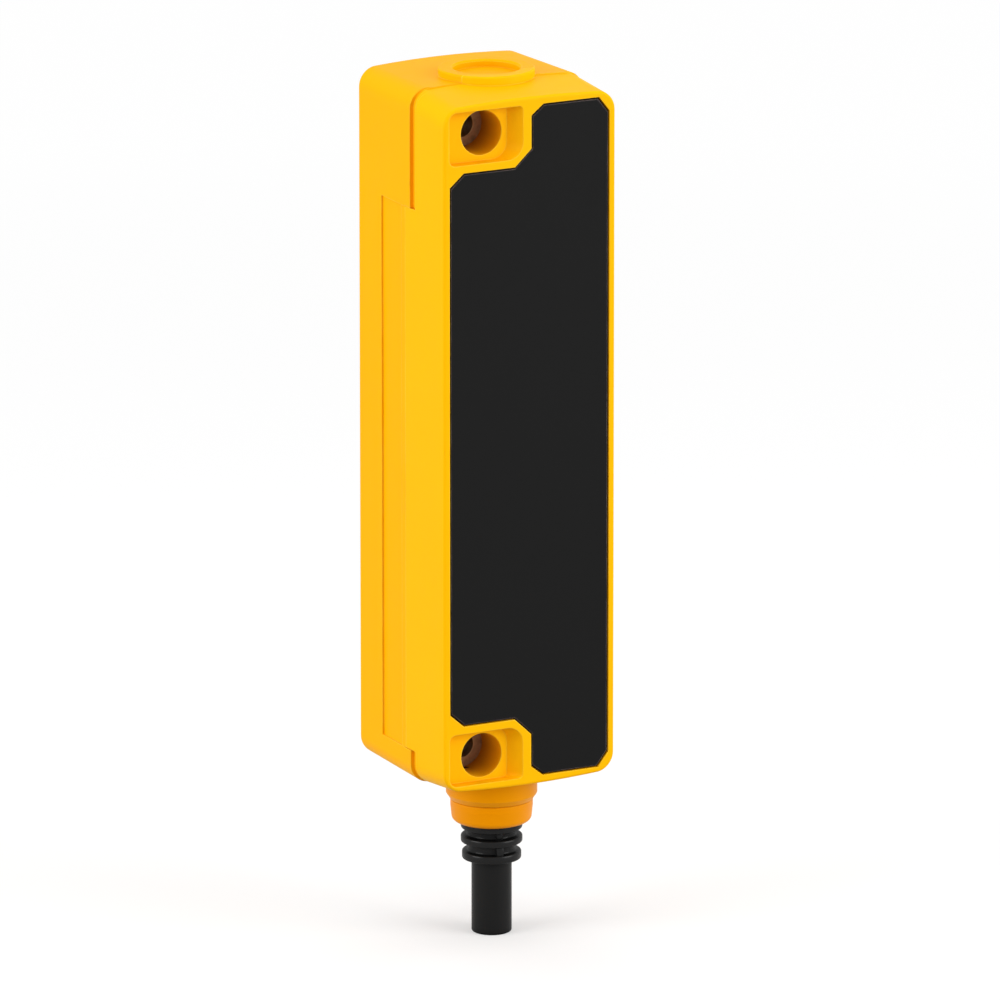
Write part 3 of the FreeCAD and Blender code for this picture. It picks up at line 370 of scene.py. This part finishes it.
def solder_mask(name, colour, track_colour):
    """Green lacquer over glass weave and copper tracks."""
    material, shader, place = new_material(name)
    rounded, edge = broken_edge(place, BOARD_EDGE)
    squares = {"Vector": place, "Scale": WEAVE_PER_METRE}
    weave = place.node("TexChecker", {}, squares, output="Fac")
    cells = {"Vector": place, "Scale": TRACKS_PER_METRE, "Randomness": 0.0}
    track = place.node("TexVoronoi", {"distance": "MANHATTAN"}, cells, output="Distance")
    lanes = track.over(0.35, 0.4) - track.over(0.55, 0.6)
    smears = noise(place, SMEAR_SIZE, detail=3)
    tone = lanes.blend(smears.blend(shade(colour, 0.8), colour), track_colour)
    relief = lanes + 0.25 * weave
    height = {"Strength": 0.4, "Distance": TRACK_HEIGHT, "Height": relief, "Normal": rounded}
    feed(
        shader,
        Base_Color=edge.blend(tone, BARE_LAMINATE),
        Roughness=0.26 + 0.16 * smears,
        Normal=place.node("Bump", {}, height),
    )
    return material


paint("circuit_board", solder_mask("solder_mask", MASK_GREEN, TRACK_GREEN))
paint("board_screws", turned_metal("zinc_plate", ZINC, 0.3))

# Parts on the board
# Moulded black packages with tinned leads, a metal quartz can, an aluminium capacitor on
# its plastic foot, a ferrite inductor, and rows of resistors and ceramic capacitors.

EPOXY_BLACK = (0.018, 0.018, 0.019)
TIN = (0.72, 0.71, 0.68)
CERAMIC_TAN = (0.38, 0.25, 0.13)
ALUMINIUM = (0.78, 0.78, 0.80)
NICKEL_CAN = (0.62, 0.60, 0.56)
MICROCONTROLLER_HALF = 0.0025
SMALL_CHIP_HALF = 0.00195
PACKAGE_GRAIN = 0.000004
LEAD_MARK = 0.0002
CAN_MARK = 0.0003

epoxy = plain_moulding("epoxy_package", EPOXY_BLACK, 0.5, PACKAGE_GRAIN)
tinned = turned_metal("tinned_lead", TIN, 0.3, LEAD_MARK)

chips = {
    "microcontroller_a": MICROCONTROLLER_HALF,
    "microcontroller_b": MICROCONTROLLER_HALF,
    "reader_chip": SMALL_CHIP_HALF,
    "output_driver_a": SMALL_CHIP_HALF,
    "output_driver_b": SMALL_CHIP_HALF,
}
for node, half_width in chips.items():
    low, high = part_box(node)
    chip_x = (low.x + high.x) / 2
    paint(node, epoxy, tinned, lambda middle: abs(middle.x - chip_x) > half_width * 1.002)

paint("protection_diodes", epoxy)
paint("supply_inductor", ferrite)
paint("capacitor_base", epoxy)
paint("capacitor_can", turned_metal("aluminium_can", ALUMINIUM, 0.28))
paint("quartz_crystal", turned_metal("nickel_can", NICKEL_CAN, 0.25, CAN_MARK))
paint("resistors", epoxy)
paint("ceramic_capacitors", plain_moulding("fired_ceramic", CERAMIC_TAN, 0.4))

# Cable cores
# Eight stranded copper conductors in coloured PVC insulation run up behind the board's
# lower screws, and are stripped and soldered to its pads.

CORE_COLOURS = {
    "core_white": (0.72, 0.72, 0.70),
    "core_brown": (0.13, 0.05, 0.02),
    "core_green": (0.02, 0.25, 0.06),
    "core_yellow": (0.80, 0.58, 0.02),
    "core_grey": (0.25, 0.26, 0.27),
    "core_pink": (0.78, 0.30, 0.36),
    "core_blue": (0.015, 0.07, 0.42),
    "core_red": (0.55, 0.012, 0.012),
}
STRAND_COPPER = (0.80, 0.38, 0.22)
SOLDER = (0.70, 0.70, 0.68)
STRAND_MARK = 0.00015
SOLDER_RIPPLE = 0.0006

for node, colour in CORE_COLOURS.items():
    paint(node, plain_moulding(node + "_insulation", colour, 0.3))
paint("core_conductors", turned_metal("stranded_copper", STRAND_COPPER, 0.3, STRAND_MARK))
paint("solder_joints", turned_metal("solder", SOLDER, 0.2, SOLDER_RIPPLE))

# Cover seal and O-ring
# The gasket between the shells and the ring on the collar's spigot, both of black nitrile
# rubber with a dull moulded skin.

NITRILE_BLACK = (0.016, 0.016, 0.016)
NITRILE_GRAIN = 0.000006
nitrile = plain_moulding("nitrile_rubber", NITRILE_BLACK, 0.62, NITRILE_GRAIN)
paint("cover_seal", nitrile)
paint("gland_o_ring", nitrile)

# Front cover
# The shallow front shell, from the same moulding compound out of another mould. Its skirt
# laps over the rear shell and is bonded to it along the seam. The recess of the round port
# goes through both shells, so it is cut here out of a copy of the cover's own mesh.

COVER_YELLOW = (0.97, 0.48, 0.001)
PORT_AXIS = Vector((0, -0.0129, 0))
PORT_RECESS_PROFILE = (
    (0, 46.536),
    (4.35, 46.536),
    (4.35, 47.286),
    (4.60, 47.536),
    (4.60, 48.500),
    (0, 48.500),
)
SAME_POINT = 0.0000005
ROUND_STEPS = 96
FULL_TURN = {"cent": (0, 0, 0), "axis": (0, 0, 1), "angle": 2 * math.pi, "use_merge": True}


def turned(profile, axis):
    """A closed turned shape round an upright axis, from its radii and heights in millimetres."""
    mesh = bmesh.new()
    corners = [mesh.verts.new((radius / 1000, 0, height / 1000)) for radius, height in profile]
    sides = [mesh.edges.new(ends) for ends in zip(corners, corners[1:] + corners[:1])]
    bmesh.ops.spin(mesh, geom=corners + sides, steps=ROUND_STEPS, **FULL_TURN)
    bmesh.ops.remove_doubles(mesh, verts=mesh.verts, dist=SAME_POINT)
    bmesh.ops.translate(mesh, vec=axis, verts=mesh.verts)
    bmesh.ops.recalc_face_normals(mesh, faces=mesh.faces)
    return mesh


def merged_copy(node):
    """A CAD node's mesh with its loose triangles joined, and its normals kept on its corners."""
    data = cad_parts[node].data.copy()
    drawn = data.attributes.new("drawn_normal", "FLOAT_VECTOR", "CORNER")
    for kept, corner in zip(drawn.data, data.corner_normals):
        kept.vector = corner.vector
    mesh = bmesh.new()
    mesh.from_mesh(data)
    bpy.data.meshes.remove(data)
    bmesh.ops.remove_doubles(mesh, verts=mesh.verts, dist=SAME_POINT)
    return mesh


def cut_out(mesh, tool):
    """The mesh with the tool's shape taken out of it."""
    blanks = []
    for shape in (mesh, tool):
        data = bpy.data.meshes.new("blank")
        shape.to_mesh(data)
        shape.free()
        blanks.append(bpy.data.objects.new("blank", data))
        bpy.context.scene.collection.objects.link(blanks[-1])
    cut = blanks[0].modifiers.new("cut", "BOOLEAN")
    cut.object = blanks[1]
    cut.solver = "EXACT"
    result = bmesh.new()
    result.from_mesh(blanks[0].evaluated_get(bpy.context.evaluated_depsgraph_get()).to_mesh())
    for data in [blank.data for blank in blanks]:
        bpy.data.meshes.remove(data)
    return result


def finished(name, mesh, material, cad_node):
    """A smooth-shaded object from the mesh, which stands for the CAD node."""
    data = bpy.data.meshes.new(name)
    mesh.to_mesh(data)
    mesh.free()
    data.shade_smooth()
    data.materials.append(material)
    piece = bpy.data.objects.new(name, data)
    bpy.context.scene.collection.objects.link(piece)
    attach(piece, "root")
    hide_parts(cad_node)
    return piece


def draw_normals(shell, axis):
    """Gives a cut mesh its kept normals, and its new faces round ones toward the upright axis."""
    drawn = shell.attributes["drawn_normal"]
    normals = []
    for face in shell.polygons:
        level = math.hypot(face.normal.x, face.normal.y)
        for index in face.loop_indices:
            normal = Vector(drawn.data[index].vector)
            if normal.length < 0.5:
                outward = shell.vertices[shell.loops[index].vertex_index].co - axis
                outward.z = 0
                normal = Vector((0, 0, face.normal.z)) - outward.normalized() * level
            normals.append(normal.normalized())
    shell.attributes.remove(drawn)
    shell.normals_split_custom_set(normals)


cover = cut_out(merged_copy("front_cover"), turned(PORT_RECESS_PROFILE, PORT_AXIS))
cover_tones = (COVER_YELLOW, YELLOW_EDGE_WEAR_AND_HIGHLIGHT, YELLOW_HOLLOW_SHADE)
cover_yellow = moulded("cover_yellow", cover_tones, 0.38, YELLOW_SHINE, shade_bores=True)
piece = finished("front_cover_moulding", cover, cover_yellow, "front_cover")
draw_normals(piece.data, PORT_AXIS)

# Front plate
# A thin plate of black thermoplastic bonded into the cover over the read head.
# Its face has a fine even grain, and its rim a small bevel that catches the light, with a pale
# painted highlight on it; the gap round the plate is painted shade.

PLATE_BLACK = (0.0045, 0.0045, 0.0045)
# Pale painted highlight on the rim, and near-black painted shade in the gap round the plate
PLATE_EDGE_HIGHLIGHT = (0.40, 0.30, 0.27)
PLATE_GAP_SHADE = (0.001, 0.001, 0.001)
plate_tones = (PLATE_BLACK, PLATE_EDGE_HIGHLIGHT, PLATE_GAP_SHADE)
paint("front_plate", moulded("plate_black", plate_tones, 0.45, 0.08))

# Gland collar
# The stepped clamping collar under the cable port, in a deeper orange-yellow polyamide.
# It is pushed into the port with its spigot and O-ring.

COLLAR_ORANGE = (0.80, 0.275, 0.0)
# Pale tone on the collar's rubbed edges: wear, and a painted highlight
COLLAR_EDGE_WEAR_AND_HIGHLIGHT = (1.0, 0.52, 0.04)
collar_tones = (COLLAR_ORANGE, COLLAR_EDGE_WEAR_AND_HIGHLIGHT, PORT_HOLLOW_SHADE)
collar_orange = moulded("collar_orange", collar_tones, PORT_GLOSS, PORT_SHINE, glint=PORT_GLINT)
paint("gland_collar", collar_orange)

# Strain relief
# Black thermoplastic elastomer moulded on the cable: a block under the collar and two thin
# ribs with soft rims, an upright web in each gap, and a head that sits above the collar.

CABLE_AXIS = Vector((0, -0.0143, 0))
RELIEF_PROFILE = (
    (2.65, -46.72),
    (4.40, -46.72),
    (4.40, -47.52),
    (3.15, -47.52),
    (3.15, -53.27),
    (4.05, -53.27),
    (4.05, -54.25),
    (3.15, -54.25),
    (3.15, -55.20),
    (4.06, -55.20),
    (4.06, -56.15),
    (3.15, -56.15),
    (3.15, -57.30),
    (3.90, -57.30),
    (3.90, -58.40),
    (2.65, -58.40),
)
RELIEF_SOFT_EDGE = 0.00022
# Each web's foot, top, reach from the axis, and width
RELIEF_WEBS = ((-55.25, -54.20, 3.45, 0.9), (-57.35, -56.10, 3.75, 1.0))
WEB_ROOT = 2.9
WEB_TURN = math.radians(-9.5)
RELIEF_BLACK = (0.0045, 0.0045, 0.0045)
RELIEF_EDGE = (0.03, 0.03, 0.03)
# Near-black painted shade in the gaps of the strain relief and the hollows of the sheath
RELIEF_HOLLOW_SHADE = (0.0006, 0.0006, 0.0006)
RUBBER_GRAIN = 0.000004
RUBBER_SHINE = 0.04
SHARP_ANGLE = math.radians(30)
ROUNDING = {"segments": 3, "profile": 0.5, "affect": "EDGES", "material": -1, "clamp_overlap": True}


def soften(mesh, radius):
    """Rounds every edge at which two faces meet sharply."""
    sharp = [edge for edge in mesh.edges if edge.calc_face_angle(0) > SHARP_ANGLE]
    bmesh.ops.bevel(mesh, geom=sharp, offset=radius, **ROUNDING)


relief = turned(RELIEF_PROFILE, CABLE_AXIS)
for foot, top, reach, width in RELIEF_WEBS:
    for side in (-1, 1):
        middle = Vector((0, side * (WEB_ROOT + reach) / 2, (foot + top) / 2)) / 1000
        size = Matrix.Diagonal((width / 1000, (reach - WEB_ROOT) / 1000, (top - foot) / 1000, 1))
        turn = Matrix.Translation(CABLE_AXIS) @ Matrix.Rotation(WEB_TURN, 4, "Z")
        bmesh.ops.create_cube(relief, size=1, matrix=turn @ Matrix.Translation(middle) @ size)
soften(relief, RELIEF_SOFT_EDGE)
relief_tones = (RELIEF_BLACK, RELIEF_EDGE, RELIEF_HOLLOW_SHADE)
relief_rubber = moulded("relief_rubber", relief_tones, 0.5, RUBBER_SHINE, RUBBER_GRAIN, skin=0.3)
finished("strain_relief_moulding", relief, relief_rubber, "strain_relief")

# Cable stub
# The polyurethane sheath of the cable, cut off square a little way below the strain relief,
# which is moulded round it.

SHEATH_BLACK = (0.006, 0.006, 0.006)
SHEATH_EDGE = (0.035, 0.035, 0.035)
sheath_tones = (SHEATH_BLACK, SHEATH_EDGE, RELIEF_HOLLOW_SHADE)
cable_sheath = moulded("cable_sheath", sheath_tones, 0.4, RUBBER_SHINE, RUBBER_GRAIN, skin=0.18)
paint("cable_jacket", cable_sheath)

# Floor and lights
# A wide white table on which the switch stands on its cable stub, in an even white room
# with soft lamps. The table shows white to the camera but throws little light back, glows
# more further off, and is clear from below, so that the underside can be looked at.

WHITE = (1, 1, 1, 1)
TABLE_SIZE = 12
TABLE_SEEN = (0.91, 0.91, 0.91)
TABLE_BOUNCE = (0.40, 0.39, 0.37)
NEAR, FAR = 0.06, 0.45
GLOW_NEAR, GLOW_FAR = 0.42, 0.97
ROOM_LIGHT = 0.58


def looked_at(signal):
    """1 on rays that lead to the camera, straight, by a mirror or through glass, else 0."""
    kinds = ("Is Camera Ray", "Is Glossy Ray", "Is Transmission Ray")
    straight, mirrored, through = [signal.node("LightPath", {}, {}, output=kind) for kind in kinds]
    return (straight + mirrored + through).over(0, 1)


stub_end = (0, 0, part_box("cable_jacket")[0].z)
bpy.ops.mesh.primitive_plane_add(size=TABLE_SIZE, location=stub_end)
table = bpy.context.object
table.name = "studio_table"
material, shader, place = new_material("studio_table")
seen = looked_at(place)
feed(shader, Base_Color=seen.blend(TABLE_BOUNCE, TABLE_SEEN), Roughness=0.9, Specular_IOR_Level=0.0)
glow = place.node("Emission", {}, {"Color": WHITE, "Strength": 1.0})
away = place.node("VectorMath", {"operation": "LENGTH"}, {0: place}, output="Value").over(NEAR, FAR)
share = seen * (GLOW_NEAR + (GLOW_FAR - GLOW_NEAR) * away)
lit = {0: share, 1: Signal(place.tree, shader.outputs[0]), 2: glow}
below = place.node("NewGeometry", {}, {}, output="Backfacing")
clear = {0: below, 1: place.node("MixShader", {}, lit), 2: place.node("BsdfTransparent", {}, {})}
surface = place.node("MixShader", {}, clear)
place.tree.links.new(surface.socket, place.tree.nodes["Material Output"].inputs["Surface"])
table.data.materials.append(material)


LAMP_AIM = Vector((0, -0.0127, -0.005))
# Each lamp's place, side and watts
LAMPS = {
    "left_box": ((-0.77, -0.02, 0.20), 0.5, 4.4),
    "front_box": ((0.53, -0.64, 0.22), 0.6, 5.9),
    "top_box": ((0.0, 0.05, 0.80), 0.8, 2.4),
}


def softbox(name, place, size, power):
    """A square soft lamp that looks at the middle of the switch."""
    light = bpy.data.lights.new(name, "AREA")
    light.shape = "SQUARE"
    light.size = size
    light.energy = power
    lamp = bpy.data.objects.new(name, light)
    lamp.location = place
    lamp.rotation_euler = (LAMP_AIM - lamp.location).to_track_quat("-Z", "Y").to_euler()
    bpy.context.scene.collection.objects.link(lamp)


for name, settings in LAMPS.items():
    softbox(name, *settings)

world = bpy.data.worlds.new("studio")
bpy.context.scene.world = world
world.use_nodes = True
sky = Signal(world.node_tree)
room = sky.node("Background", {}, {"Color": WHITE, "Strength": ROOM_LIGHT})
backdrop = sky.node("Background", {}, {"Color": WHITE, "Strength": 1.0})
all_round = sky.node("MixShader", {}, {0: looked_at(sky), 1: room, 2: backdrop})
world.node_tree.links.new(all_round.socket, world.node_tree.nodes["World Output"].inputs["Surface"])

# Camera
# A long lens from the front left and a little above, as the photograph was taken.

LENS_MM = 450
SENSOR_MM = 36
CAMERA_PLACE = (-0.73546, -1.40817, 0.39942)
LOOKS_DOWN = math.radians(14.563)
LOOKS_RIGHT = math.radians(27.858)
lens = bpy.data.cameras.new("camera")
lens.lens = LENS_MM
lens.sensor_width = SENSOR_MM
camera = bpy.data.objects.new("camera", lens)
camera.location = CAMERA_PLACE
camera.rotation_euler = (math.radians(90) - LOOKS_DOWN, 0, -LOOKS_RIGHT)
bpy.context.scene.collection.objects.link(camera)
bpy.context.scene.camera = camera

bpy.context.scene.view_settings.view_transform = "Standard"
